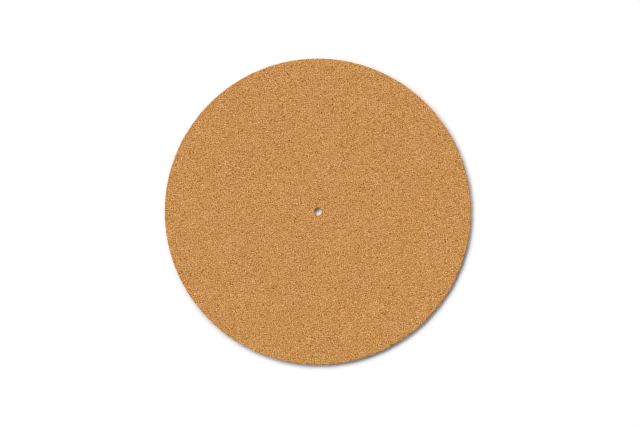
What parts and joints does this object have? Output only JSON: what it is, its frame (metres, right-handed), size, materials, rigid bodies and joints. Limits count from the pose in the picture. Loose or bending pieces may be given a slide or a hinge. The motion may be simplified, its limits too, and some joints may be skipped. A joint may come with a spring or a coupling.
{
  "type": "turntable platter mat",
  "caption": "Flat round cork mat with a central spindle hole, laid on a turntable platter to carry the record and damp vibration.",
  "frame": {"origin": "centre of the underside, on the spindle hole's axis", "axes": "+Z along the spindle hole's axis, from the underside towards the face that carries the record; X and Y are any two radii, because the disc is round"},
  "size_m": [0.3, 0.3, 0.003],
  "materials": {
    "cork": "fine-grain agglomerated cork, bare and matt, golden tan with dark and pale granules"
  },
  "bodies": {
    "root": {"platter_mat": "cork"}
  },
  "joints": []
}
